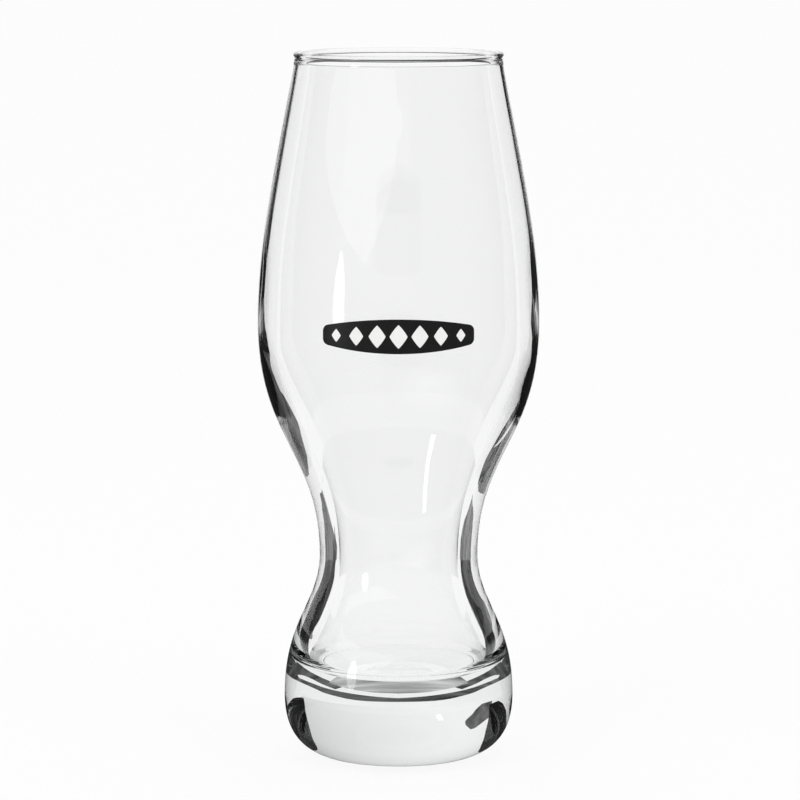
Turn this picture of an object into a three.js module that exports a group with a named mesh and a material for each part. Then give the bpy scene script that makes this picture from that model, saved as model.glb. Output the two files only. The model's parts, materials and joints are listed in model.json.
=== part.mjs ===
// Contoured beer glass: a heavy solid foot, a drawn-in waist, a full belly and a beaded rim.
// A print of white lozenges on a black ground lies on the front of the belly.
// Millimetres, +Z up, origin at the centre of the standing ring, the print facing -Y.

import * as THREE from 'three';

// Heights and radii of the outer wall, from the table up
const HEIGHT = 200;
const STANDING_RADIUS = 16.5;
const FOOT_RADIUS = 32.6;
const FOOT_HEIGHT = 17;
const WAIST_RADIUS = 22.5;
const WAIST_HEIGHT = 57.8;
const BELLY_RADIUS = 39.8;
const BELLY_HEIGHT = 123.5;
const RIM_RADIUS = 29.2;

// Flat standing ring under the foot, and the shallow hollow inside it
const RING_WIDTH = 5;
const PUNT_DEPTH = 1;

// Rolled bead of the rim, which stands a little proud of the wall outside
const BEAD_RADIUS = 0.9;
const BEAD_OVERHANG = 0.35;

// Solid base and wall thicknesses, measured level
const FLOOR_HEIGHT = 25;
const FLOOR_CORNER_RADIUS = 4;
const CHAMBER_WALL = 7.8;
const WAIST_WALL = 5.8;
const BELLY_WALL = 2.7;

// How far each curve keeps upright at its ends, as a share of its rise
const FOOT_FULLNESS = 0.53;
const WAIST_FULLNESS_BELOW = 0.345;
const WAIST_FULLNESS_ABOVE = 0.43;
const BELLY_FULLNESS_BELOW = 0.49;
const BELLY_FULLNESS_ABOVE = 0.363;
const RIM_FULLNESS = 0.3;
const CHAMBER_FULLNESS = 0.31;
const INNER_WAIST_FULLNESS_BELOW = 0.43;
const INNER_WAIST_FULLNESS_ABOVE = 0.41;
const INNER_BELLY_FULLNESS_BELOW = 0.37;
const INNER_BELLY_FULLNESS_ABOVE = 0.345;
const INNER_RIM_FULLNESS = 0.72;

// How far the heel curve runs level from the ring and upright into the foot, as shares of its size
const HEEL_LEVEL_SHARE = 0.72;
const HEEL_UPRIGHT_SHARE = 0.6;

// Inward lean of the wall where it meets the rim
const RIM_LEAN = THREE.MathUtils.degToRad(8.6);
const INNER_RIM_LEAN = THREE.MathUtils.degToRad(10);

// Printed ornament: a bowed black ground with a row of white lozenges, its middle line a little
// above the widest height of the belly
const PRINT_RISE = 1;
const GROUND_WIDTH = 43.5;
const GROUND_DEPTH = 9.5;
const GROUND_TIP_DEPTH = 5;
const LOZENGE_COUNT = 7;
const LOZENGE_SLIMNESS = 0.76;
const GROUND_MARGIN = 1.5;
const END_MARGIN = 4.2;
const INK_THICKNESS = 0.2;
const INK_GAP = 0.3;

// Fineness of the facets
const TURN_STEPS = 48;
const CURVE_STEPS = 9;
const HEEL_STEPS = 7;
const BEAD_STEPS = 5;
const CORNER_STEPS = 4;
const PUNT_STEPS = 4;
const GROUND_COLUMNS = 24;
const GROUND_ROWS = 4;
const LOZENGE_DIVISIONS = 4;

// A point of the section: distance from the axis, height above the table
const at = (radius, height) => new THREE.Vector2(radius, height);

// Curve between two points of the section where the wall stands upright at both ends
function uprightCurve(low, high, lowFullness, highFullness) {
  const rise = high.y - low.y;
  const lowHandle = at(low.x, low.y + lowFullness * rise);
  const highHandle = at(high.x, high.y - highFullness * rise);
  return new THREE.CubicBezierCurve(low, lowHandle, highHandle, high);
}

// Curve from the belly to the rim, upright at the belly and leaning inward at the rim
function shoulderCurve(belly, rim, bellyFullness, rimFullness, lean) {
  const rise = rim.y - belly.y;
  const bellyHandle = at(belly.x, belly.y + bellyFullness * rise);
  const reach = rimFullness * rise;
  const rimHandle = at(rim.x + reach * Math.sin(lean), rim.y - reach * Math.cos(lean));
  return new THREE.CubicBezierCurve(belly, bellyHandle, rimHandle, rim);
}

// Rim bead: a round whose outer side stands proud of the wall and whose inner side is the lip
const beadCentre = at(RIM_RADIUS + BEAD_OVERHANG - BEAD_RADIUS, HEIGHT - BEAD_RADIUS);
const beadStart = -Math.acos((RIM_RADIUS - beadCentre.x) / BEAD_RADIUS);
const beadTop = Math.PI / 2;
const beadEnd = Math.PI + INNER_RIM_LEAN;
const onBead = (angle) => at(
  beadCentre.x + BEAD_RADIUS * Math.cos(angle),
  beadCentre.y + BEAD_RADIUS * Math.sin(angle),
);

// Outer wall
const ringEdge = at(STANDING_RADIUS, 0);
const footOut = at(FOOT_RADIUS, FOOT_HEIGHT);
const waistOut = at(WAIST_RADIUS, WAIST_HEIGHT);
const bellyOut = at(BELLY_RADIUS, BELLY_HEIGHT);
const rimOut = onBead(beadStart);
const heel = new THREE.CubicBezierCurve(
  ringEdge,
  at(STANDING_RADIUS + HEEL_LEVEL_SHARE * (FOOT_RADIUS - STANDING_RADIUS), 0),
  at(FOOT_RADIUS, FOOT_HEIGHT - HEEL_UPRIGHT_SHARE * FOOT_HEIGHT),
  footOut,
);
const footToWaist = uprightCurve(footOut, waistOut, FOOT_FULLNESS, WAIST_FULLNESS_BELOW);
const waistToBelly = uprightCurve(waistOut, bellyOut, WAIST_FULLNESS_ABOVE, BELLY_FULLNESS_BELOW);
const bellyToRim = shoulderCurve(bellyOut, rimOut, BELLY_FULLNESS_ABOVE, RIM_FULLNESS, RIM_LEAN);

// Inner wall
const chamberIn = at(FOOT_RADIUS - CHAMBER_WALL, FLOOR_HEIGHT + FLOOR_CORNER_RADIUS);
const waistIn = at(WAIST_RADIUS - WAIST_WALL, WAIST_HEIGHT);
const bellyIn = at(BELLY_RADIUS - BELLY_WALL, BELLY_HEIGHT);
const rimIn = onBead(beadEnd);
const chamberToWaist = uprightCurve(chamberIn, waistIn, CHAMBER_FULLNESS, INNER_WAIST_FULLNESS_BELOW);
const innerWaistToBelly = uprightCurve(
  waistIn,
  bellyIn,
  INNER_WAIST_FULLNESS_ABOVE,
  INNER_BELLY_FULLNESS_BELOW,
);
const innerBellyToRim = shoulderCurve(
  bellyIn,
  rimIn,
  INNER_BELLY_FULLNESS_ABOVE,
  INNER_RIM_FULLNESS,
  INNER_RIM_LEAN,
);

// Points of a curve without its first one, which the stretch before it has already given
const onward = (curve, steps) => curve.getPoints(steps).slice(1);
const backward = (curve, steps) => curve.getPoints(steps).reverse().slice(1);

// Points of a round of the section between two angles, without its first one
function round(centre, radius, from, to, steps) {
  const points = [];
  for (let i = 1; i <= steps; i += 1) {
    const angle = from + ((to - from) * i) / steps;
    points.push(at(centre.x + radius * Math.cos(angle), centre.y + radius * Math.sin(angle)));
  }
  return points;
}

// Section of the whole glass, from the axis under the foot round to the axis on the floor inside
function glassSection() {
  const points = [];
  const puntRadius = STANDING_RADIUS - RING_WIDTH;
  for (let i = 0; i <= PUNT_STEPS; i += 1) {
    const share = i / PUNT_STEPS;
    points.push(at(puntRadius * share, PUNT_DEPTH * (1 - share * share)));
  }
  points.push(ringEdge);
  points.push(...onward(heel, HEEL_STEPS));
  points.push(...onward(footToWaist, CURVE_STEPS));
  points.push(...onward(waistToBelly, CURVE_STEPS));
  points.push(...onward(bellyToRim, CURVE_STEPS));
  points.push(...round(beadCentre, BEAD_RADIUS, beadStart, beadTop, BEAD_STEPS));
  points.push(...round(beadCentre, BEAD_RADIUS, beadTop, beadEnd, BEAD_STEPS));
  points.push(...backward(innerBellyToRim, CURVE_STEPS));
  points.push(...backward(innerWaistToBelly, CURVE_STEPS));
  points.push(...backward(chamberToWaist, CURVE_STEPS));
  const cornerCentre = at(chamberIn.x - FLOOR_CORNER_RADIUS, chamberIn.y);
  points.push(...round(cornerCentre, FLOOR_CORNER_RADIUS, 0, -Math.PI / 2, CORNER_STEPS));
  points.push(at(0, FLOOR_HEIGHT));
  return points;
}

// Radius of the outer wall at a height on the belly, found by halving along the right curve
function outerRadius(height) {
  const curve = height < BELLY_HEIGHT ? waistToBelly : bellyToRim;
  let low = 0;
  let high = 1;
  while (high - low > Number.EPSILON) {
    const middle = (low + high) / 2;
    if (curve.getPoint(middle).y < height) {
      low = middle;
    } else {
      high = middle;
    }
  }
  return curve.getPoint(low).x;
}

// Lays a point of the print on the belly: along is measured round the belly, up from its middle line
function onBelly(along, up, lift) {
  const angle = along / BELLY_RADIUS;
  const height = BELLY_HEIGHT + PRINT_RISE + up;
  const radius = outerRadius(height) + lift;
  return new THREE.Vector3(radius * Math.sin(angle), -radius * Math.cos(angle), height);
}

// Closed film of ink: the grid of place(across, upward), both from 0 to 1, between two lifts off the wall
function inkFilm(place, columns, rows, innerLift) {
  const positions = [];
  const triangles = [];
  const layerSize = (columns + 1) * (rows + 1);
  for (const lift of [innerLift, innerLift + INK_THICKNESS]) {
    for (let row = 0; row <= rows; row += 1) {
      for (let column = 0; column <= columns; column += 1) {
        const [along, up] = place(column / columns, row / rows);
        positions.push(...onBelly(along, up, lift).toArray());
      }
    }
  }
  const index = (layer, column, row) => layer * layerSize + row * (columns + 1) + column;
  const quad = (a, b, c, d) => triangles.push(a, b, c, a, c, d);
  for (let row = 0; row < rows; row += 1) {
    for (let column = 0; column < columns; column += 1) {
      const face = (layer) => [
        index(layer, column, row),
        index(layer, column + 1, row),
        index(layer, column + 1, row + 1),
        index(layer, column, row + 1),
      ];
      quad(...face(1));
      quad(...face(0).reverse());
    }
  }
  const edge = (a, b) => quad(index(0, ...a), index(0, ...b), index(1, ...b), index(1, ...a));
  for (let column = 0; column < columns; column += 1) {
    edge([column, 0], [column + 1, 0]);
    edge([column + 1, rows], [column, rows]);
  }
  for (let row = 0; row < rows; row += 1) {
    edge([columns, row], [columns, row + 1]);
    edge([0, row + 1], [0, row]);
  }
  const geometry = new THREE.BufferGeometry();
  geometry.setAttribute('position', new THREE.Float32BufferAttribute(positions, 3));
  geometry.setIndex(triangles);
  geometry.computeVertexNormals();
  return geometry;
}

// Half the depth of the black ground at a distance from its middle, full there and slim at the tips
function groundHalfDepth(along) {
  const share = (2 * along) / GROUND_WIDTH;
  return (GROUND_TIP_DEPTH + (GROUND_DEPTH - GROUND_TIP_DEPTH) * (1 - share * share)) / 2;
}

function groundPlace(across, upward) {
  const along = (across - 0.5) * GROUND_WIDTH;
  return [along, (2 * upward - 1) * groundHalfDepth(along)];
}

// A lozenge keeps the ground's margin above and below, so the row grows towards the middle
function lozengePlace(middle) {
  const halfDepth = groundHalfDepth(middle) - GROUND_MARGIN;
  const halfWidth = LOZENGE_SLIMNESS * halfDepth;
  return (across, upward) => [
    middle + (across - upward) * halfWidth,
    (across + upward - 1) * halfDepth,
  ];
}

function namedMesh(name, geometry, material) {
  const mesh = new THREE.Mesh(geometry, material);
  mesh.name = name;
  return mesh;
}

const clearGlass = new THREE.MeshStandardMaterial({
  color: 0xf3f6f5,
  roughness: 0.03,
  metalness: 0,
  transparent: true,
  opacity: 0.35,
});
const blackInk = new THREE.MeshStandardMaterial({ color: 0x0c0c0d, roughness: 0.35, metalness: 0 });
const whiteInk = new THREE.MeshStandardMaterial({ color: 0xf6f6f4, roughness: 0.4, metalness: 0 });

const beerGlass = new THREE.Group();

const glassGeometry = new THREE.LatheGeometry(glassSection(), TURN_STEPS);
glassGeometry.rotateX(Math.PI / 2);
beerGlass.add(namedMesh('glass_body', glassGeometry, clearGlass));

const groundGeometry = inkFilm(groundPlace, GROUND_COLUMNS, GROUND_ROWS, INK_GAP);
beerGlass.add(namedMesh('print_ground', groundGeometry, blackInk));

const lozengePitch = (GROUND_WIDTH - 2 * END_MARGIN) / (LOZENGE_COUNT - 1);
const lozengeLift = 2 * INK_GAP + INK_THICKNESS;
for (let i = 0; i < LOZENGE_COUNT; i += 1) {
  const middle = (i - (LOZENGE_COUNT - 1) / 2) * lozengePitch;
  const geometry = inkFilm(lozengePlace(middle), LOZENGE_DIVISIONS, LOZENGE_DIVISIONS, lozengeLift);
  beerGlass.add(namedMesh(`print_lozenge_${i + 1}`, geometry, whiteInk));
}

export default beerGlass;
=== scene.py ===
# %% [markdown]
# # A contoured beer glass
# The glass is one turned piece of clear glass with a small print on the front of its belly. The packed
# solid model already has every piece at its real size, so it is loaded first as a fixed frame, and
# each Blender piece is built in that same frame, in metres. The box of the solid model is measured and
# its sides are printed.

# %% Load the solid model
import json
import math

import bmesh
import bpy
from mathutils.bvhtree import BVHTree
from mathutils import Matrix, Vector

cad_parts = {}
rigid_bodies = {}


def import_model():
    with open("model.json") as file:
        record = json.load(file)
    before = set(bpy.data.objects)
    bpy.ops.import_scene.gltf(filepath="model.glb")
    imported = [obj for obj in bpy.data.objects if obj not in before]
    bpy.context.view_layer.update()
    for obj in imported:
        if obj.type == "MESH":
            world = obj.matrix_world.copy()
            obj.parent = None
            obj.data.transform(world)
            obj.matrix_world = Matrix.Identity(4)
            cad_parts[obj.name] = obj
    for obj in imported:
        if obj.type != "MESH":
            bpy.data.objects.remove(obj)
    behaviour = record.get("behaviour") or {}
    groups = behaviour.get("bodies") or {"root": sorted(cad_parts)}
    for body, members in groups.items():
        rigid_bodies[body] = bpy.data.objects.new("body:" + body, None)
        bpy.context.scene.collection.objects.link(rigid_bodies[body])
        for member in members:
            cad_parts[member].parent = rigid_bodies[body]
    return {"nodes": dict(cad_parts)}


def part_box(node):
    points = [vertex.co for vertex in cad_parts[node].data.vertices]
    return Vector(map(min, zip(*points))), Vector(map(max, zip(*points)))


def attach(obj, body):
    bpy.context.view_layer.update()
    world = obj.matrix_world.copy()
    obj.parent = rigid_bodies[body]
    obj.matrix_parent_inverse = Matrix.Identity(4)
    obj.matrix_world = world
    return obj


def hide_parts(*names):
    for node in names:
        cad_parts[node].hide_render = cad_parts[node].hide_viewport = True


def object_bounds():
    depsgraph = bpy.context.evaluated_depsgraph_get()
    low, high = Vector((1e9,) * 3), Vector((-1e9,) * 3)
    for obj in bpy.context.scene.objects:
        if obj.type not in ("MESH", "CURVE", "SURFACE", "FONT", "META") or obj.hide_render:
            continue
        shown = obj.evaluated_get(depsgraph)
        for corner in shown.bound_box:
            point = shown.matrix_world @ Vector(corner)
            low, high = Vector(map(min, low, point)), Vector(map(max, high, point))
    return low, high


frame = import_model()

cad_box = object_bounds()
glass_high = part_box("glass_body")[1]
cad_sides = [round(side, 4) for side in cad_box[1] - cad_box[0]]
print("solid model:", len(frame["nodes"]), "nodes,", cad_sides, "m")

# %% [markdown]
# ## Camera
# The glass is seen from about a metre away and a little above its rim, so the rim is a thin ellipse and
# the foot a rounder one. A camera could be aimed by eye, but fitting the turned outline to the picture
# gives all of it at once: the distance decides how much rounder the foot looks than the rim, and the
# tilt decides where the glass sits in the square frame.

# %% Camera
CAMERA_DISTANCE = 1.0574
CAMERA_HEIGHT = 0.248
CAMERA_SIDE = 0.0004
CAMERA_TILT = math.radians(7.878)
CAMERA_LENS = 169.6
SENSOR_WIDTH = 36

scene = bpy.context.scene
camera_data = bpy.data.cameras.new("camera")
camera_data.lens = CAMERA_LENS
camera_data.sensor_width = SENSOR_WIDTH
camera = bpy.data.objects.new("camera", camera_data)
camera.location = (CAMERA_SIDE, -CAMERA_DISTANCE, CAMERA_HEIGHT)
camera.rotation_euler = (math.pi / 2 - CAMERA_TILT, 0, 0)
scene.collection.objects.link(camera)
scene.camera = camera
scene.view_settings.view_transform = "Standard"
print("camera at", tuple(round(value, 4) for value in camera.location))

# %% [markdown]
# ## Section of the glass
# Everything about a turned glass is in its section: a heavy solid foot, a waist, a full belly, a
# shoulder that leans in to a rolled bead, and the same line again inside, set in by the wall. It could
# be drawn as a long list of points, but a few curves that stand upright at the foot, waist and belly
# say the same with sizes that have names. The height and the belly come from the frame.

# %% Sizes of the section, in millimetres
MM = 0.001
HEIGHT = glass_high.z / MM
BELLY_RADIUS = glass_high.x / MM
BELLY_HEIGHT = 123.5
RIM_RADIUS = 29.2
WAIST_RADIUS = 22.5
WAIST_HEIGHT = 57.8
FOOT_RADIUS = 32.6
FOOT_HEIGHT = 17
STANDING_RADIUS = 16.5
RING_WIDTH = 5
PUNT_DEPTH = 1
BEAD_RADIUS = 0.9
BEAD_OVERHANG = 0.35
FLOOR_HEIGHT = 25
FLOOR_CORNER_RADIUS = 4
CHAMBER_WALL = 7.8
WAIST_WALL = 5.8
BELLY_WALL = 2.7
RIM_LEAN = math.radians(8.6)
INNER_RIM_LEAN = math.radians(10)
print(f"glass {HEIGHT:.1f} mm tall, {2 * BELLY_RADIUS:.1f} mm across the belly")

# %% How full the curves are, as shares of the way from one place to the next
HEEL_FLAT = 0.72
HEEL_TURN = 0.4
FOOT_ABOVE = 0.53
WAIST_BELOW = 0.345
WAIST_ABOVE = 0.43
BELLY_BELOW = 0.49
BELLY_ABOVE = 0.363
RIM_BELOW = 0.3
CHAMBER_ABOVE = 0.31
INNER_WAIST_BELOW = 0.43
INNER_WAIST_ABOVE = 0.41
INNER_BELLY_BELOW = 0.37
INNER_BELLY_ABOVE = 0.345
INNER_RIM_BELOW = 0.72
CURVE_STEPS = 34
ROUND_STEPS = 16
print("each curve in", CURVE_STEPS, "steps and each round in", ROUND_STEPS)


# %% Curves of the section
def blend_points(corners, weights):
    """Weighted mean of points of the section, each a radius and a height."""
    return tuple(sum(w * c[k] for w, c in zip(weights, corners)) for k in (0, 1))


def bezier(start, start_handle, end_handle, end):
    """Points of a cubic curve, both ends included."""
    points = []
    for i in range(CURVE_STEPS + 1):
        t = i / CURVE_STEPS
        weights = ((1 - t) ** 3, 3 * t * (1 - t) ** 2, 3 * t**2 * (1 - t), t**3)
        points.append(blend_points((start, start_handle, end_handle, end), weights))
    return points


def upright(low, high, low_fullness, high_fullness):
    """Curve that stands upright at both ends, each for a share of the rise."""
    rise = high[1] - low[1]
    low_handle = (low[0], low[1] + low_fullness * rise)
    high_handle = (high[0], high[1] - high_fullness * rise)
    return bezier(low, low_handle, high_handle, high)


def shoulder(belly, rim, belly_fullness, rim_fullness, lean):
    """Curve that stands upright at the belly and leans inward at the rim."""
    rise = rim[1] - belly[1]
    reach = rim_fullness * rise
    belly_handle = (belly[0], belly[1] + belly_fullness * rise)
    rim_handle = (rim[0] + reach * math.sin(lean), rim[1] - reach * math.cos(lean))
    return bezier(belly, belly_handle, rim_handle, rim)


def arc(centre, radius, start, end):
    """Points of a round of the section between two angles."""
    angles = [start + (end - start) * i / ROUND_STEPS for i in range(ROUND_STEPS + 1)]
    return [(centre[0] + radius * math.cos(a), centre[1] + radius * math.sin(a)) for a in angles]


# %% Outer wall, from the middle of the underside up to the rim
ring_inside = STANDING_RADIUS - RING_WIDTH
punt = [
    (ring_inside * i / ROUND_STEPS, PUNT_DEPTH * (1 - (i / ROUND_STEPS) ** 2))
    for i in range(ROUND_STEPS + 1)
]
foot = (FOOT_RADIUS, FOOT_HEIGHT)
waist = (WAIST_RADIUS, WAIST_HEIGHT)
belly = (BELLY_RADIUS, BELLY_HEIGHT)
heel = bezier(
    (STANDING_RADIUS, 0),
    (STANDING_RADIUS + HEEL_FLAT * (FOOT_RADIUS - STANDING_RADIUS), 0),
    (FOOT_RADIUS, HEEL_TURN * FOOT_HEIGHT),
    foot,
)
bead_centre = (RIM_RADIUS + BEAD_OVERHANG - BEAD_RADIUS, HEIGHT - BEAD_RADIUS)
bead_start = -math.acos((RIM_RADIUS - bead_centre[0]) / BEAD_RADIUS)
bead = arc(bead_centre, BEAD_RADIUS, bead_start, math.pi + INNER_RIM_LEAN)
foot_side = upright(foot, waist, FOOT_ABOVE, WAIST_BELOW)
lower_bowl = upright(waist, belly, WAIST_ABOVE, BELLY_BELOW)
upper_bowl = shoulder(belly, bead[0], BELLY_ABOVE, RIM_BELOW, RIM_LEAN)
outer_wall = foot_side + lower_bowl + upper_bowl
print(len(outer_wall), "points on the outer wall, leaning in to", round(bead[0][0], 2), "mm at the rim")

# %% Inner wall, from the rim down to the middle of the floor inside
inner_belly = (BELLY_RADIUS - BELLY_WALL, BELLY_HEIGHT)
inner_waist = (WAIST_RADIUS - WAIST_WALL, WAIST_HEIGHT)
corner_top = (FOOT_RADIUS - CHAMBER_WALL, FLOOR_HEIGHT + FLOOR_CORNER_RADIUS)
corner_centre = (corner_top[0] - FLOOR_CORNER_RADIUS, corner_top[1])
inner_shoulder = shoulder(inner_belly, bead[-1], INNER_BELLY_ABOVE, INNER_RIM_BELOW, INNER_RIM_LEAN)
inner_bowl = upright(inner_waist, inner_belly, INNER_WAIST_ABOVE, INNER_BELLY_BELOW)
chamber = upright(corner_top, inner_waist, CHAMBER_ABOVE, INNER_WAIST_BELOW)
floor_corner = arc(corner_centre, FLOOR_CORNER_RADIUS, 0, -math.pi / 2)
chamber_floor = [(corner_centre[0] * (1 - i / ROUND_STEPS), FLOOR_HEIGHT) for i in range(ROUND_STEPS + 1)]
inner_wall = inner_shoulder[::-1] + inner_bowl[::-1] + chamber[::-1]

SAME_POINT = 1e-6
section = []
for point in punt + heel + outer_wall + bead + inner_wall + floor_corner + chamber_floor:
    if not section or math.dist(point, section[-1]) > SAME_POINT:
        section.append(point)
print(len(section), "points round the section")

# %% [markdown]
# ## Turned glass body
# On the real glass, the hot glass is blown into a turning mould, so it is round to a hair and has no
# seam. A Screw modifier or the spin tool would turn the section too, but both leave a doubled seam
# and pinched faces on the axis to clean up. Writing the rings out, with one single point where the
# section meets the axis, closes the body exactly, which glass needs to bend light the right way.

# %% Turn the section
TURNS = 192


def add_object(name, bm):
    """A smooth-shaded object from a bmesh whose faces are turned outward first."""
    bmesh.ops.recalc_face_normals(bm, faces=bm.faces)
    mesh = bpy.data.meshes.new(name)
    bm.to_mesh(mesh)
    bm.free()
    mesh.polygons.foreach_set("use_smooth", [True] * len(mesh.polygons))
    piece = bpy.data.objects.new(name, mesh)
    scene.collection.objects.link(piece)
    return piece


def ring_point(radius, angle, height):
    """Place on a turned piece, in metres, from sizes in millimetres. Angle 0 is the front."""
    return (radius * math.sin(angle) * MM, -radius * math.cos(angle) * MM, height * MM)


def turned(name, points):
    """A closed body turned round the Z axis from a section that starts and ends on the axis."""
    bm = bmesh.new()
    rings = []
    for radius, height in points:
        count = TURNS if radius > SAME_POINT else 1
        angles = [2 * math.pi * k / TURNS for k in range(count)]
        rings.append([bm.verts.new(ring_point(radius, angle, height)) for angle in angles])
    for low, high in zip(rings, rings[1:]):
        for k in range(TURNS):
            places = ((low, k), (low, k + 1), (high, k + 1), (high, k))
            corners = [ring[j % len(ring)] for ring, j in places]
            bm.faces.new(dict.fromkeys(corners))
    return add_object(name, bm)


glass = turned("fine_glass_body", section)
print("glass body:", len(glass.data.polygons), "faces")

# %% Compare it with the solid
fine_surface = BVHTree.FromPolygons(
    [vertex.co for vertex in glass.data.vertices],
    [face.vertices for face in glass.data.polygons],
)
solid_points = [vertex.co for vertex in frame["nodes"]["glass_body"].data.vertices]
farthest = max(fine_surface.find_nearest(point)[3] for point in solid_points)
print(f"solid's corners lie within {farthest / MM:.3f} mm of the fine surface")

# %% [markdown]
# ## Clear glass
# The glass is colourless and fire-polished, so nearly all of its look is bent and mirrored light. The
# Principled shader with full transmission does that for a closed body. Two faint things keep it from
# looking like a formula: the wall waves by a hundredth of a millimetre, which bump gives through
# noise, and handling leaves a trace of haze, which noise gives to the roughness. Thick glass is a
# little grey, and absorption inside the body shows that in the foot and not in the thin wall.

# %% Helpers for finishes
NOISE_LOW = 0.3
NOISE_HIGH = 0.7


def node_maker(tree):
    """Two functions for a node tree: one adds a node with its settings, one links two sockets."""
    def add(kind, **settings):
        node = tree.nodes.new(kind)
        for key, value in settings.items():
            if key in node.inputs:
                node.inputs[key].default_value = value
            else:
                setattr(node, key, value)
        return node

    return add, tree.links.new


def new_finish(name):
    """A node material with its Principled shader, and the functions that fill its node tree."""
    material = bpy.data.materials.new(name)
    material.use_nodes = True
    add, link = node_maker(material.node_tree)
    return material, material.node_tree.nodes["Principled BSDF"], add, link


def noise_in(add, link, size, detail):
    """Noise over the piece's own coordinates, with features of about the given size in metres."""
    place = add("ShaderNodeTexCoord")
    noise = add("ShaderNodeTexNoise", Scale=1 / size, Detail=detail)
    link(place.outputs["Object"], noise.inputs["Vector"])
    return noise.outputs["Fac"]


def spread(add, link, source, low, high):
    """Noise spread between two values."""
    spreader = add("ShaderNodeMapRange")
    spreader.inputs["From Min"].default_value = NOISE_LOW
    spreader.inputs["From Max"].default_value = NOISE_HIGH
    spreader.inputs["To Min"].default_value = low
    spreader.inputs["To Max"].default_value = high
    link(source, spreader.inputs["Value"])
    return spreader.outputs["Result"]


# %% Glass finish
GLASS_IOR = 1.52
GLASS_COLOUR = (0.995, 0.997, 0.996, 1)
BODY_TINT = (0.855, 0.87, 0.866, 1)
BODY_DENSITY = 10
WAVE_SIZE = 0.016
WAVE_HEIGHT = 0.00001
HAZE_SIZE = 0.03
HAZE = 0.02

clear_glass, shader, add, link = new_finish("clear_glass")
shader.inputs["Base Color"].default_value = GLASS_COLOUR
shader.inputs["Transmission Weight"].default_value = 1
shader.inputs["IOR"].default_value = GLASS_IOR
link(spread(add, link, noise_in(add, link, HAZE_SIZE, detail=3), 0, HAZE), shader.inputs["Roughness"])
waves = add("ShaderNodeBump", Strength=1, Distance=WAVE_HEIGHT)
link(noise_in(add, link, WAVE_SIZE, detail=1), waves.inputs["Height"])
link(waves.outputs["Normal"], shader.inputs["Normal"])
tint = add("ShaderNodeVolumeAbsorption", Color=BODY_TINT, Density=BODY_DENSITY)
link(tint.outputs["Volume"], clear_glass.node_tree.nodes["Material Output"].inputs["Volume"])
glass.data.materials.append(clear_glass)
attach(glass, "root")
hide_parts("glass_body")
print("glass finish on", glass.name)

# %% [markdown]
# ## Print on the belly
# The print is fired enamel: a black ground and white lozenges over it, each a few hundredths of a
# millimetre thick. A picture texture on the glass would be quick, but then the ink would be as clear
# as the glass under it. Real films of ink laid on the wall are opaque from both sides and have an edge
# that catches light. Each is an outline drawn in towards its middle in rings, so that it follows the
# round of the belly.

# %% Sizes of the print, in millimetres
PRINT_RISE = 1
GROUND_WIDTH = 43.5
GROUND_DEPTH = 9.5
GROUND_TIP_DEPTH = 5
GROUND_CORNER = 1.4
GROUND_MARGIN = 1.5
LOZENGE_COUNT = 7
LOZENGE_SLIMNESS = 0.76
LOZENGE_POINT = 1.75
END_MARGIN = 4.2
INK_THICKNESS = 0.05
INK_GAP = 0.01
INK_EDGE = 0.03
OUTLINE_STEPS = 48
FILM_RINGS = 20
print("print", GROUND_WIDTH, "mm wide and", GROUND_DEPTH, "mm deep, with", LOZENGE_COUNT, "lozenges")


# %% Films of ink
def wall_radius(height):
    """Outer radius of the glass at a height on the bowl."""
    bowl = lower_bowl + upper_bowl[1:]
    for (low_radius, low), (high_radius, high) in zip(bowl, bowl[1:]):
        if low <= height <= high:
            return low_radius + (high_radius - low_radius) * (height - low) / (high - low)


def on_belly(along, up, lift):
    """Place on the belly, in metres: along runs round it and up runs from the print's middle line."""
    height = BELLY_HEIGHT + PRINT_RISE + up
    return ring_point(wall_radius(height) + lift, along / BELLY_RADIUS, height)


def ink_film(name, middle, outline, lift):
    """Closed film of ink between two lifts off the wall, from an outline round its middle."""
    bm = bmesh.new()

    def layer(layer_lift, edge):
        hub = bm.verts.new(on_belly(middle, 0, layer_lift))
        rings = []
        for ring in range(1, FILM_RINGS + 1):
            share = ring / FILM_RINGS * (1 - edge)
            places = [on_belly(middle + share * x, share * y, layer_lift) for x, y in outline]
            rings.append([bm.verts.new(place) for place in places])
        for k in range(len(outline)):
            bm.faces.new((hub, rings[0][k - 1], rings[0][k]))
            for inner, outer in zip(rings, rings[1:]):
                bm.faces.new((inner[k - 1], outer[k - 1], outer[k], inner[k]))
        return rings[-1]

    under = layer(lift, 0)
    over = layer(lift + INK_THICKNESS, INK_EDGE / GROUND_MARGIN)
    for k in range(len(outline)):
        bm.faces.new((under[k - 1], under[k], over[k], over[k - 1]))
    return add_object(name, bm)


# %% Black ground, full in the middle and slimmer at its rounded ends
def ground_half_depth(along):
    """Half depth of the ground before its corners are rounded."""
    share = 2 * along / GROUND_WIDTH
    return (GROUND_TIP_DEPTH + (GROUND_DEPTH - GROUND_TIP_DEPTH) * (1 - share**2)) / 2


def ground_edge(along):
    """Half depth of the ground with its corners rounded."""
    past = max(0, abs(along) - (GROUND_WIDTH / 2 - GROUND_CORNER))
    return ground_half_depth(along) - GROUND_CORNER + math.sqrt(max(0, GROUND_CORNER**2 - past**2))


upper_edge = []
for i in range(OUTLINE_STEPS + 1):
    along = GROUND_WIDTH / 2 * math.sin(math.pi * (i / OUTLINE_STEPS - 0.5))
    upper_edge.append((along, ground_edge(along)))
lower_edge = [(along, -up) for along, up in reversed(upper_edge)]
ground = ink_film("fine_print_ground", 0, upper_edge + lower_edge, INK_GAP)
print("print ground:", len(ground.data.polygons), "faces")


# %% White lozenges, each keeping the same margin of black above and below
def pointed(value):
    """Sine or cosine drawn in, so that a round becomes a lozenge with hollow sides."""
    return math.copysign(abs(value) ** LOZENGE_POINT, value)


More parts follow.
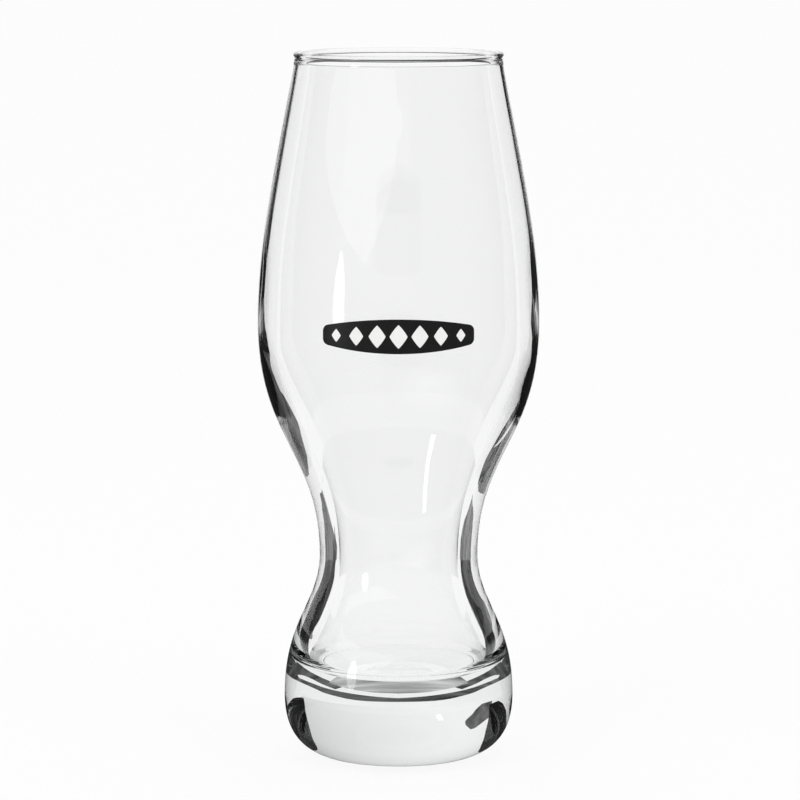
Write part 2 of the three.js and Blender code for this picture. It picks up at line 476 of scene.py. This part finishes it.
lozenges = []
pitch = (GROUND_WIDTH - 2 * END_MARGIN) / (LOZENGE_COUNT - 1)
for number in range(LOZENGE_COUNT):
    middle = (number - (LOZENGE_COUNT - 1) / 2) * pitch
    half_depth = ground_half_depth(middle) - GROUND_MARGIN
    half_width = LOZENGE_SLIMNESS * half_depth
    turns = [2 * math.pi * i / OUTLINE_STEPS for i in range(OUTLINE_STEPS)]
    outline = [(pointed(math.cos(t)) * half_width, pointed(math.sin(t)) * half_depth) for t in turns]
    name = f"fine_print_lozenge_{number + 1}"
    lozenges.append(ink_film(name, middle, outline, 2 * INK_GAP + INK_THICKNESS))
print(len(lozenges), "lozenges,", round(pitch, 2), "mm apart")

# %% [markdown]
# ## Fired inks
# Enamel ink dries to a satin skin with the fine tooth of the screen it was pressed through, and its
# colour is never quite even. A gloss paint with one flat value would look like a sticker, so each ink
# gets a slight mottle in its colour, a satin roughness that varies, and a fine bump.

# %% Ink finishes
MOTTLE_SIZE = 0.002
TOOTH_SIZE = 0.0003
TOOTH_HEIGHT = 0.00001
TOOTH_STRENGTH = 0.5
INK_GLOSS = 0.25
SATIN_SPREAD = 0.06


def ink_finish(name, dark, light, roughness):
    """Satin enamel between two shades of one colour."""
    material, shader, add, link = new_finish(name)
    mottle = noise_in(add, link, MOTTLE_SIZE, detail=4)
    shades = add("ShaderNodeMix", data_type="RGBA")
    shades.inputs["A"].default_value = (*dark, 1)
    shades.inputs["B"].default_value = (*light, 1)
    link(mottle, shades.inputs["Factor"])
    link(shades.outputs["Result"], shader.inputs["Base Color"])
    satin = spread(add, link, mottle, roughness - SATIN_SPREAD, roughness + SATIN_SPREAD)
    link(satin, shader.inputs["Roughness"])
    shader.inputs["Specular IOR Level"].default_value = INK_GLOSS
    tooth = add("ShaderNodeBump", Strength=TOOTH_STRENGTH, Distance=TOOTH_HEIGHT)
    link(noise_in(add, link, TOOTH_SIZE, detail=2), tooth.inputs["Height"])
    link(tooth.outputs["Normal"], shader.inputs["Normal"])
    return material


black_ink = ink_finish("black_ink", (0.003, 0.003, 0.0035), (0.008, 0.008, 0.0085), roughness=0.36)
white_ink = ink_finish("white_ink", (0.86, 0.86, 0.85), (0.95, 0.95, 0.94), roughness=0.42)
ground.data.materials.append(black_ink)
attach(ground, "root")
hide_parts("print_ground")
for number, lozenge in enumerate(lozenges, 1):
    lozenge.data.materials.append(white_ink)
    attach(lozenge, "root")
    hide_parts(f"print_lozenge_{number}")
print("inks on", 1 + len(lozenges), "films")

# %% [markdown]
# ## Floor and backdrop
# The glass stands on a pale floor in front of a white backdrop. A glass has no colour of its own, so
# the backdrop must be white for the light that passes through it or glances off it as well as for the
# camera, and Light Path tells those rays from the rest. The floor is part glow and part plain matt
# paint: the glow keeps it white and the paint keeps the glass's soft shadow.

# %% Which rays see the backdrop
def reckon(add, link, operation, *values, **settings):
    """Output of a Math node on sockets or plain numbers."""
    node = add("ShaderNodeMath", operation=operation, **settings)
    for socket, value in zip(node.inputs, values):
        if isinstance(value, bpy.types.NodeSocket):
            link(value, socket)
        else:
            socket.default_value = value
    return node.outputs[0]


def sees_backdrop(add, link):
    """1 for rays from the camera, through glass or off a gloss, and 0 for the rest."""
    path = add("ShaderNodeLightPath").outputs
    unbent = reckon(add, link, "ADD", path["Is Camera Ray"], path["Is Glossy Ray"])
    return reckon(add, link, "ADD", unbent, path["Is Transmission Ray"], use_clamp=True)


# %% White world
WHITE = (1, 1, 1, 1)
AMBIENT = 0.8

world = bpy.data.worlds.new("white_backdrop")
world.use_nodes = True
scene.world = world
add, link = node_maker(world.node_tree)
level = add("ShaderNodeMapRange")
level.inputs["To Min"].default_value = AMBIENT
level.inputs["To Max"].default_value = 1
link(sees_backdrop(add, link), level.inputs["Value"])
backdrop = world.node_tree.nodes["Background"]
backdrop.inputs["Color"].default_value = WHITE
link(level.outputs["Result"], backdrop.inputs["Strength"])
print("white world, lighting the pieces at", AMBIENT)

# %% Pale floor
FLOOR_RADIUS = 12
FLOOR_SEGMENTS = 64
FLOOR_GLOW = 0.9
FLOOR_COLOUR = (0.96, 0.96, 0.96, 1)

bm = bmesh.new()
bmesh.ops.create_circle(bm, cap_ends=True, radius=FLOOR_RADIUS, segments=FLOOR_SEGMENTS)
floor = add_object("floor", bm)
floor_paint, shader, add, link = new_finish("floor_paint")
shader.inputs["Base Color"].default_value = FLOOR_COLOUR
shader.inputs["Roughness"].default_value = 1
shader.inputs["Specular IOR Level"].default_value = 0
glow = add("ShaderNodeEmission", Strength=1)
mixed = add("ShaderNodeMixShader")
link(reckon(add, link, "MULTIPLY", sees_backdrop(add, link), FLOOR_GLOW), mixed.inputs["Fac"])
link(shader.outputs["BSDF"], mixed.inputs[1])
link(glow.outputs["Emission"], mixed.inputs[2])
link(mixed.outputs["Shader"], floor_paint.node_tree.nodes["Material Output"].inputs["Surface"])
floor.data.materials.append(floor_paint)
print("floor", 2 * FLOOR_RADIUS, "m across")

# %% [markdown]
# ## Soft lamps
# Two large soft lamps stand in front, one on each side, and light the print and the floor evenly. Small
# bright lamps would print hard spots on the glass. The lamps themselves are kept out of the glass,
# because its highlights are placed by cards further down.

# %% Lamps
LAMP_SIZE = 0.9
KEY_PLACE = (-0.9, -1.0, 1.1)
KEY_POWER = 4
FILL_PLACE = (1.0, -0.8, 0.9)
FILL_POWER = 2.5


def soft_lamp(name, place, target, power):
    """Square area lamp aimed at a point."""
    data = bpy.data.lights.new(name, "AREA")
    data.size = LAMP_SIZE
    data.energy = power
    lamp = bpy.data.objects.new(name, data)
    lamp.location = place
    aim = [t - p for t, p in zip(target, place)]
    heading = math.atan2(aim[0], -aim[1])
    drop = math.atan2(math.hypot(aim[0], aim[1]), -aim[2])
    lamp.rotation_euler = (drop, 0, math.pi + heading)
    lamp.visible_glossy = False
    lamp.visible_transmission = False
    scene.collection.objects.link(lamp)
    return lamp


middle_of_glass = (0, 0, HEIGHT * MM / 2)
key_lamp = soft_lamp("key_lamp", KEY_PLACE, middle_of_glass, KEY_POWER)
fill_lamp = soft_lamp("fill_lamp", FILL_PLACE, middle_of_glass, FILL_POWER)
print("lamps:", key_lamp.data.energy, "and", fill_lamp.data.energy, "W")

# %% [markdown]
# ## Black flags
# In front of a white backdrop a clear glass would nearly vanish. Photographers stand black cards, called
# flags, round it: the thick glass of the foot, the waist and the outline bends light so far that it
# looks at the flags, and draws itself in black. Dark lines painted on the glass would be wrong from
# every other side. Light Path counts how often a ray was bent (transmission) and mirrored (glossy), so
# each flag can be kept to the light it is meant for. Light through the hollow bowl is bent four times
# and mirrored never, finds no flag, and leaves the bowl clear from all sides.

# %% Flag cloth
STREAK_SIZE = 0.012
HALF_STEP = 0.5
FIRST_FACE = 0
SOLID_GLASS = 2
ANY_BENDS = 50


def flag_cloth(name, bends, mirrored, tone=1, streaks=None, slack=HALF_STEP, slanting=False):
    """Cloth for light that was bent so often, give or take the slack, and that was mirrored or not.

    A slanting one is only for light that came less far than it lies from the middle of the foot.
    """
    material, shader, add, link = new_finish(name)
    path = add("ShaderNodeLightPath").outputs
    bent = reckon(add, link, "COMPARE", path["Transmission Depth"], bends, slack)
    mirrors = "GREATER_THAN" if mirrored else "LESS_THAN"
    shown = reckon(add, link, "MULTIPLY", bent, reckon(add, link, mirrors, path["Glossy Depth"], HALF_STEP))
    if slanting:
        place = add("ShaderNodeTexCoord")
        away = add("ShaderNodeVectorMath", operation="LENGTH")
        link(place.outputs["Object"], away.inputs[0])
        near = reckon(add, link, "LESS_THAN", path["Ray Length"], away.outputs["Value"])
        shown = reckon(add, link, "MULTIPLY", shown, near)
    cloth = add("ShaderNodeEmission", Strength=tone)
    if streaks:
        noise = noise_in(add, link, STREAK_SIZE, detail=2)
        link(spread(add, link, noise, tone, streaks), cloth.inputs["Strength"])
    clear = add("ShaderNodeBsdfTransparent")
    mixed = add("ShaderNodeMixShader")
    link(shown, mixed.inputs["Fac"])
    link(clear.outputs["BSDF"], mixed.inputs[1])
    link(cloth.outputs["Emission"], mixed.inputs[2])
    link(mixed.outputs["Shader"], material.node_tree.nodes["Material Output"].inputs["Surface"])
    material.node_tree.nodes.remove(shader)
    material.cycles.emission_sampling = "NONE"
    return material


# %% Cloth that fades or streaks
def tone_of(cloth):
    """Strength socket of a cloth."""
    return next(node for node in cloth.node_tree.nodes if node.type == "EMISSION").inputs["Strength"]


def soften(cloth, centre, reach, edge_tone):
    """Let a cloth fade from its own tone at a centre to another at some distance."""
    add, link = node_maker(cloth.node_tree)
    tone = tone_of(cloth)
    place = add("ShaderNodeTexCoord")
    away = add("ShaderNodeVectorMath", operation="DISTANCE")
    away.inputs[1].default_value = centre
    fade = add("ShaderNodeMapRange", interpolation_type="SMOOTHSTEP")
    fade.inputs["From Max"].default_value = reach
    fade.inputs["To Min"].default_value = tone.default_value
    fade.inputs["To Max"].default_value = edge_tone
    link(place.outputs["Object"], away.inputs[0])
    link(away.outputs["Value"], fade.inputs["Value"])
    link(fade.outputs["Result"], tone)


def ring_streaks(cloth, low, high, size, along):
    """Give a cloth streaks that run across the view, so many times longer than they are wide."""
    add, link = node_maker(cloth.node_tree)
    place = add("ShaderNodeTexCoord")
    squeeze = add("ShaderNodeMapping", Scale=(1 / along, 1, 1))
    noise = add("ShaderNodeTexNoise", Scale=1 / size, Detail=3)
    link(place.outputs["Object"], squeeze.inputs["Vector"])
    link(squeeze.outputs["Vector"], noise.inputs["Vector"])
    link(spread(add, link, noise.outputs["Fac"], low, high), tone_of(cloth))


# %% Cards of the studio
FLAG_COLUMNS = 24
CLOTH_LIFT = 0.0005


def around(azimuth, radius, height):
    """Place in the studio: the azimuth is in degrees from straight behind the glass towards +X."""
    turn = math.radians(azimuth)
    return (radius * math.sin(turn), radius * math.cos(turn), height)


def flag(name, edges, cloth):
    """Card through several edges, lists of points of equal length. The camera doesn't see it."""
    bm = bmesh.new()
    lines = [[bm.verts.new(point) for point in edge] for edge in edges]
    for near, far in zip(lines, lines[1:]):
        for k in range(len(near) - 1):
            bm.faces.new((near[k], near[k + 1], far[k + 1], far[k]))
    card = add_object(name, bm)
    card.data.materials.append(cloth)
    card.visible_camera = False
    card.visible_diffuse = False
    card.visible_shadow = False
    return card


def sweep(start, end):
    """Even steps between two values."""
    return [start + (end - start) * k / FLAG_COLUMNS for k in range(FLAG_COLUMNS + 1)]


def standing_flag(name, radius, low, high, cloth):
    """Bent card round the glass. Each edge runs from one azimuth and height to another."""
    edges = []
    for (start, start_height), (end, end_height) in (low, high):
        steps = zip(sweep(start, end), sweep(start_height, end_height))
        edges.append([around(azimuth, radius, height) for azimuth, height in steps])
    return flag(name, edges, cloth)


def level_flag(name, radius, azimuths, heights, cloth):
    """Bent card round the glass with level edges."""
    start, end = azimuths
    low, high = (((start, height), (end, height)) for height in heights)
    return standing_flag(name, radius, low, high, cloth)


def floor_flag(name, azimuths, radii, cloth, lift=CLOTH_LIFT):
    """Strip of cloth that lies on the floor round the glass."""
    edges = [[around(azimuth, radius, lift) for azimuth in sweep(*azimuths)] for radius in radii]
    return flag(name, edges, cloth)


# %% Ribbons: cards cut to a curve
RIBBON_STEPS = 8


def smooth(values):
    """Soft curve through the values, by four neighbours at a time."""
    padded = [values[0], *values, values[-1]]
    curve = []
    for before, here, there, after in zip(padded, padded[1:], padded[2:], padded[3:]):
        rise = there - here
        pull = (there - before) / 2
        brake = (after - here) / 2
        bend = 3 * rise - 2 * pull - brake
        twist = pull + brake - 2 * rise
        for k in range(RIBBON_STEPS):
            t = k / RIBBON_STEPS
            curve.append(here + pull * t + bend * t**2 + twist * t**3)
    return [*curve, values[-1]]


def ribbon(name, radius, cloth, *stations):
    """Bent card of changing width. A station is a height in millimetres and the azimuths of both edges."""
    edges = []
    for height, start, end in zip(*(smooth(column) for column in zip(*stations))):
        edges.append([around(azimuth, radius, height * MM) for azimuth in sweep(start, end)])
    return flag(name, edges, cloth)


def band(name, radius, cloth, *stations):
    """Bent card of changing height. A station is an azimuth and the heights of both edges in millimetres."""
    azimuths, lows, highs = (smooth(column) for column in zip(*stations))
    edges = []
    for heights in (lows, highs):
        edges.append([around(azimuth, radius, height * MM) for azimuth, height in zip(azimuths, heights)])
    return flag(name, edges, cloth)


# %% [markdown]
# ## Outline of the bowl
# Where the wall of the bowl turns away at the outline, light runs along inside it, is mirrored from face
# to face, and leaves sideways. A flag close by on each side draws the thin dark line that a clear glass
# has there. A plain upright card would draw a line of uneven width, so the flags are ribbons, cut wider
# and narrower along their height. Under the belly they open out to the leaf of grey on the left and the
# wedge on the right, and a sliver of white card leaves the light line in that wedge.

# %% Cloths for light that was mirrored in the wall
wall_cloth = flag_cloth("wall_cloth", SOLID_GLASS, mirrored=True, tone=0.012)
streaky_cloth = flag_cloth("streaky_cloth", SOLID_GLASS, mirrored=True, tone=0.006, streaks=0.05)
grey_wall_cloth = flag_cloth("grey_wall_cloth", SOLID_GLASS, mirrored=True, tone=0.03, streaks=0.27)
white_cloth = flag_cloth("white_cloth", SOLID_GLASS, mirrored=True, tone=1)
wedge_cloth = flag_cloth("wedge_cloth", SOLID_GLASS, mirrored=True)
ring_streaks(wedge_cloth, low=0.005, high=0.26, size=0.004, along=1)
print("cloths:", [m.name for m in bpy.data.materials if m.name.endswith("cloth")])

# %% Flags of the outline
CLOSE = 0.055

ribbon(
    "left_line_flag", CLOSE, wall_cloth,
    (215, -46, -64), (195, -52, -66), (180, -54, -68), (166, -57, -72), (148, -59, -74), (138, -61, -72),
    (127, -61, -71), (122, -62, -74), (117, -62, -78), (112, -56, -78), (106, -54, -77),
)
ribbon(
    "right_line_flag", CLOSE, wall_cloth,
    (215, 42, 62), (195, 48, 62), (180, 50, 63), (166, 54, 66), (148, 56, 69), (136, 55, 72), (130, 54, 72),
    (126, 56, 74), (124, 64, 76), (123, 67, 77), (121, 63, 78), (119, 62, 77), (115, 57, 74), (110, 54, 71),
    (105, 50, 66), (101, 48, 60), (96, 42, 51), (92, 38, 45),
)
ribbon(
    "left_bowl_flag", CLOSE, grey_wall_cloth,
    (106, -54, -77), (98, -56, -69), (90, -54, -68), (86, -50, -69), (84, -40, -72), (78, -33, -75),
    (73, -28, -76), (70, -34, -71), (67, -46, -64),
)
ribbon(
    "right_bowl_flag", CLOSE, wedge_cloth,
    (84, 38, 54), (79, 41, 61), (74, 36, 66), (69, 31, 68), (65, 28, 69), (62, 38, 67), (59, 52, 62),
)
ribbon(
    "right_edge_flag", CLOSE - CLOTH_LIFT, wall_cloth,
    (92, 38, 45), (86, 37, 44), (82, 40, 52), (78, 42, 53), (75, 40, 52), (72, 36, 47),
    (70, 34, 43), (68, 31, 41),
)
ribbon(
    "right_gap_card", CLOSE - 2 * CLOTH_LIFT, white_cloth,
    (83, 48, 48.5), (79.5, 51.5, 54.5), (76, 56, 59), (73, 60, 62.5), (70, 65.5, 66),
)
print("outline flags", CLOSE, "m from the axis")

# %% [markdown]
# ## Waist and chamber
# The wall is twice as thick at the waist as at the belly, so its dark bands are broad, and they go on
# down beside the chamber. They too are light that was mirrored in the wall. One dark tube round the
# waist would fill all of it. Streaky ribbons close by and further off give the bands alone, and white
# cards in front of the further ones keep the foot of the bowl between the bands light.

# %% Flags of the waist and the foot of the hollow
NEAR = 0.14

ribbon(
    "left_chamber_flag", CLOSE, streaky_cloth,
    (50, -62, -69), (46, -54, -70), (41, -44, -70), (33, -43, -71), (22, -42, -73), (12, -45, -72),
    (1, -50, -70),
)
ribbon(
    "right_chamber_flag", CLOSE, streaky_cloth,
    (48, 63, 70), (46, 56, 75), (42, 51, 76), (33, 54, 78), (22, 53, 80), (12, 53, 79), (1, 56, 76),
)
ribbon(
    "left_waist_flag", NEAR, streaky_cloth,
    (75, -22, -57), (60, -21, -59), (46, -21, -57), (36, -21, -57),
)
ribbon(
    "left_high_waist_flag", NEAR, grey_wall_cloth,
    (36, -21, -58), (31, -19, -60), (26, -20, -60), (22, -24, -57), (18, -30, -50), (13, -37, -43),
)
ribbon(
    "right_waist_flag", NEAR, streaky_cloth,
    (75, 33, 62), (60, 31, 62), (46, 30, 61), (36, 26, 60),
)
ribbon(
    "right_high_waist_flag", NEAR, grey_wall_cloth,
    (36, 26, 60), (31, 23, 61), (27, 25, 60), (22, 29, 59), (17, 35, 57), (13, 42, 54),
)
print("waist flags", CLOSE, "and", NEAR, "m from the axis")

# %% White cards in front of them
WHITE_RADIUS = 0.058
WHITE_TOP = 110

left_lows = (
    (-5, 46), (-24, 48.5), (-32, 51), (-37, 53), (-41, 55), (-46, 55.5), (-50, 57), (-55, 56),
    (-60, 55.5), (-95, 55),
)
right_lows = (
    (5, 47), (24, 49), (32, 51.3), (38, 52.4), (42, 53.6), (48, 53.7), (53, 53.4), (58, 53.4),
    (64, 54.2), (70, 55.2), (95, 55.5),
)
for name, lows in (("left_white_card", left_lows), ("right_white_card", right_lows)):
    band(name, WHITE_RADIUS, white_cloth, *((azimuth, low, WHITE_TOP) for azimuth, low in lows))
print("white cards", WHITE_RADIUS, "m from the axis, up to", WHITE_TOP, "mm")

# %% [markdown]
# ## Foot
# The foot is solid glass, as strong a lens as a paperweight. It shows what stands behind it turned left
# to right, so a flag on one side gives the dark patch on the other. These flags are for light that goes
# straight through without being mirrored. Two black ribbons give the patches, and a small grey one the
# hook that reaches out of the right patch.

# %% Flags seen straight through the foot
HOOK_RADIUS = NEAR + 2 * CLOTH_LIFT

foot_cloth = flag_cloth("foot_cloth", SOLID_GLASS, mirrored=False, tone=0.006)
grey_foot_cloth = flag_cloth("grey_foot_cloth", SOLID_GLASS, mirrored=False, tone=0.04, streaks=0.16)
ribbon(
    "right_foot_flag", NEAR, foot_cloth,
    (2, 34, 36), (7, 33.5, 45), (12, 33.5, 50), (18, 33.5, 55), (28, 33, 64), (38, 32, 72), (48, 30, 72),
    (60, 30, 72), (80, 34, 72), (98, 40, 72),
)
ribbon(
    "left_foot_flag", NEAR, foot_cloth,
    (7, -31, -39), (12, -31, -44), (18, -31.5, -48), (26, -32, -53), (34, -31.5, -57), (40, -31, -59),
    (48, -30, -62), (60, -30, -64), (80, -31.5, -64), (98, -36, -64),
)
ribbon(
    "hook_flag", HOOK_RADIUS, grey_foot_cloth,
    (4, -26, -33), (8, -23, -33), (12, -21.5, -33), (17, -19, -33), (21, -19, -33),
    (24, -20, -29), (28, -22, -24),
)
print("foot flags", NEAR, "m from the axis")

# %% [markdown]
# ## Arches in the top of the foot
# Just under the floor of the chamber the glass looks down at the table behind it, and shows a dark arch,
# a grey lens inside it and the feet of a second arch: the foot's own shadow on the table. A standing card
# further off wouldn't be seen there, so dark cloths that lie on the floor give these shapes, a painted
# shadow that only the foot sees. Seen from above, the glass would show the cloths as well, so they are
# kept to light that slants in from the foot close by.

# %% Painted shadow of the foot on the floor behind
def floor_line(points, side=1):
    """Soft line on the floor through places given in millimetres, on one side of the glass."""
    across, deep = (smooth(column) for column in zip(*points))
    return [(side * x * MM, y * MM, CLOTH_LIFT) for x, y in zip(across, deep)]


def mirrored_line(*points):
    """Line on the floor through places from far right to the middle, and on to the left likewise."""
    return floor_line(points) + floor_line(points, -1)[::-1]


# dark cloths on the floor behind the foot: a painted shadow of the foot, seen only through it, with a grey
# lens inside
arch_shadow_cloth = flag_cloth("arch_shadow_cloth", SOLID_GLASS, mirrored=False, slanting=True)
ring_streaks(arch_shadow_cloth, low=0.008, high=0.16, size=0.006, along=5)
lens_shadow_cloth = flag_cloth("lens_shadow_cloth", SOLID_GLASS, mirrored=False, slanting=True)
ring_streaks(lens_shadow_cloth, low=0.12, high=0.75, size=0.004, along=6)
arch_inside = mirrored_line(
    (36, 33), (33, 54), (39, 65), (36, 71), (30, 79), (25, 86), (18, 93), (8, 100), (0, 103),
)
arch_outside = mirrored_line(
    (58, 22), (66, 36), (54, 57), (45, 69), (37, 80), (33, 87), (29, 96), (16, 111), (0, 113),
)
flag("dark_arch_shadow", [arch_inside, arch_outside], arch_shadow_cloth)
lens_front = mirrored_line((20, 81), (15, 78), (8, 76.5), (0, 76))
lens_back = mirrored_line((20, 82), (15, 88), (8, 93.5), (0, 95.5))
flag("lens_arch_shadow", [lens_front, lens_back], lens_shadow_cloth)
for side in (-1, 1):
    inside = floor_line([(32, 52), (27, 65), (22.5, 74), (19, 80), (16, 87)], side)
    outside = floor_line([(40, 62), (33, 67), (28, 74), (24.5, 81), (20, 89)], side)
    flag("inner_arch_shadow", [inside, outside], arch_shadow_cloth)
print("arches on the floor")

# %% Soft shade behind the foot, and the line along its heel
SHADE_RADIUS = 0.145
SHADE_AZIMUTHS = (-45, 36)
SHADE_HEIGHT = 0.14
SHADE_CENTRE = around(36, NEAR, 0.05)
SHADE_REACH = 0.13
HEEL_RADIUS = 0.4
HEEL_AZIMUTHS = (-60, 60)
HEEL_HEIGHTS = (0.33, 0.9)

shade_cloth = flag_cloth("shade_cloth", SOLID_GLASS, mirrored=False, tone=0.7)
soften(shade_cloth, SHADE_CENTRE, SHADE_REACH, edge_tone=1)
level_flag("shade_flag", SHADE_RADIUS, SHADE_AZIMUTHS, (0, SHADE_HEIGHT), shade_cloth)
level_flag("heel_flag", HEEL_RADIUS, HEEL_AZIMUTHS, HEEL_HEIGHTS, grey_foot_cloth)
print("shade behind the foot up to", SHADE_HEIGHT, "m")

# %% [markdown]
# ## Rim
# The bead at the rim is a rod of glass, less than two millimetres thick, and turns what it sees upside
# down. A thin dark line runs along its front edge. A low ring just inside the mouth gives that line all
# round, darkest at the right of the front, and two small flags outside give the dark ends of the rim.

# %% Cards at the rim
MOUTH_RADIUS = 0.026
MOUTH_DARKEST = around(138, MOUTH_RADIUS, 0.199)
MOUTH_REACH = 0.03
MOUTH_FAR_TONE = 0.15
RIM_END_RADIUS = 0.0315

mouth_cloth = flag_cloth("mouth_cloth", SOLID_GLASS, mirrored=False, tone=0.004)
soften(mouth_cloth, MOUTH_DARKEST, MOUTH_REACH, MOUTH_FAR_TONE)
band(
    "mouth_flag", MOUTH_RADIUS, mouth_cloth,
    (0, 198.9, 199.4), (45, 198.9, 199.4), (90, 198.9, 199.6), (112, 198.7, 199.8), (122, 198.8, 199.9),
    (132, 199, 199.9), (150, 198.95, 199.5), (180, 198.92, 199.35), (210, 198.95, 199.5), (228, 199, 199.9),
    (238, 198.8, 199.9), (248, 198.7, 199.8), (270, 198.9, 199.6), (315, 198.9, 199.4), (360, 198.9, 199.4),
)
for name, side in (("left_rim_flag", -1), ("right_rim_flag", 1)):
    band(name, RIM_END_RADIUS, wall_cloth, (side * 79, 197.6, 199.9), (side * 102, 197, 199.9))
print("ring in the mouth and flags at both ends of the rim")

# %% [markdown]
# ## Room in front
# A real studio is dim in front of the glass, and the glass mirrors it faintly on its outer face and from
# inside its wall. With a white room all round, that mirror light would wash out the dark bands. So the
# front gets a grey room, a nearly black one for light mirrored in the thick glass, and black sides that
# draw the outline from the outside.

# %% Dim room, and its dark sides
ROOM_RADIUS = 2
ROOM_NEAR = 0.05
ROOM_START = 64
ROOM_AZIMUTHS = (ROOM_START, 360 - ROOM_START)
SIDE_START = 16
INNER_ROOM_RADIUS = 1.9
INNER_ROOM_NEAR = 0.125
HEEL_FLOOR_RADII = (0.012, 0.12)


def room(name, azimuths, cloth, radius=ROOM_RADIUS, near=ROOM_NEAR, lift=CLOTH_LIFT):
    """Floor and wall of the room between two azimuths."""
    floor_flag(name + "_floor_flag", azimuths, (near, radius), cloth, lift)
    level_flag(name + "_wall_flag", radius, azimuths, (0, ROOM_RADIUS), cloth)


room_cloth = flag_cloth("room_cloth", FIRST_FACE, mirrored=True, tone=0.5, slack=ANY_BENDS)
inner_cloth = flag_cloth("inner_cloth", SOLID_GLASS, mirrored=True, tone=0.06)
side_cloth = flag_cloth("side_cloth", FIRST_FACE, mirrored=True, tone=0.03)
room("front", ROOM_AZIMUTHS, room_cloth)
room("inner", ROOM_AZIMUTHS, inner_cloth, INNER_ROOM_RADIUS, INNER_ROOM_NEAR, 3 * CLOTH_LIFT)
room("left_side", (-SIDE_START, -ROOM_START), side_cloth)
room("right_side", (SIDE_START, ROOM_START), side_cloth)
floor_flag("heel_floor_flag", (0, 360), HEEL_FLOOR_RADII, side_cloth, 2 * CLOTH_LIFT)
print("room", ROOM_RADIUS, "m round the glass")

# %% [markdown]
# ## Highlights
# The bright marks on the glass are painted highlights: mirror images of glowing cards that stand in for a
# tall window on the left, a pale panel beyond it and patches of lit floor. Lamps seen in the glass would
# do the same, but they would light the print too. These cards glow but are no lamps and light nothing;
# only the outer face mirrors them, so they can be cut and moved until each mark sits right.

# %% Bright cards in the room
WINDOW_RADIUS = 0.6
PANEL_RADIUS = 1.3
GLOW_CENTRE = around(154, 0.26, 0)
GLOW_REACH = 0.17
GLOW_EDGE_TONE = 0.16

# glowing cards, no lamps: painted highlights seen only in the outer face of the glass
window_highlight_cloth = flag_cloth("window_highlight_cloth", FIRST_FACE, mirrored=True, tone=4.5)
panel_highlight_cloth = flag_cloth("panel_highlight_cloth", FIRST_FACE, mirrored=True, tone=1.3)
floor_highlight_cloth = flag_cloth("floor_highlight_cloth", FIRST_FACE, mirrored=True, tone=1.5)
soften(floor_highlight_cloth, GLOW_CENTRE, GLOW_REACH, GLOW_EDGE_TONE)
ribbon(
    "window_highlight_card", WINDOW_RADIUS, window_highlight_cloth,
    (30, -130, -135), (60, -128, -137), (120, -127, -137), (170, -128, -136.5),
    (205, -130, -135), (225, -132, -133),
)
panel_low = ((-136, 0.36), (-153, 0.29))
panel_middle = ((-104, 0.48), (-179, 0.59))
panel_high = ((-104, 0.7), (-203, 0.6))
standing_flag("panel_card", PANEL_RADIUS, panel_low, panel_middle, panel_highlight_cloth)
standing_flag("high_panel_card", PANEL_RADIUS, panel_middle, panel_high, panel_highlight_cloth)
floor_flag("floor_card", azimuths=(120, 192), radii=(0.13, 0.6), cloth=floor_highlight_cloth)
floor_flag("streak_card", azimuths=(143, 148), radii=(0.08, 0.11), cloth=window_highlight_cloth, lift=3 * CLOTH_LIFT)

# %% [markdown]
# ## Light inside thick glass
# Light that runs inside the wall is mirrored many times before it gets out. The renderer gives up on a
# ray after a set number of turns and makes it black, which left a black band on the shoulder. Higher
# limits let that light out. More light or a paler glass would only have hidden the band.

# %% Limits for bent and mirrored light
scene.cycles.max_bounces = 24
scene.cycles.glossy_bounces = 16
scene.cycles.transmission_bounces = 16
scene.cycles.transparent_max_bounces = 24
print("bounces:", scene.cycles.max_bounces)
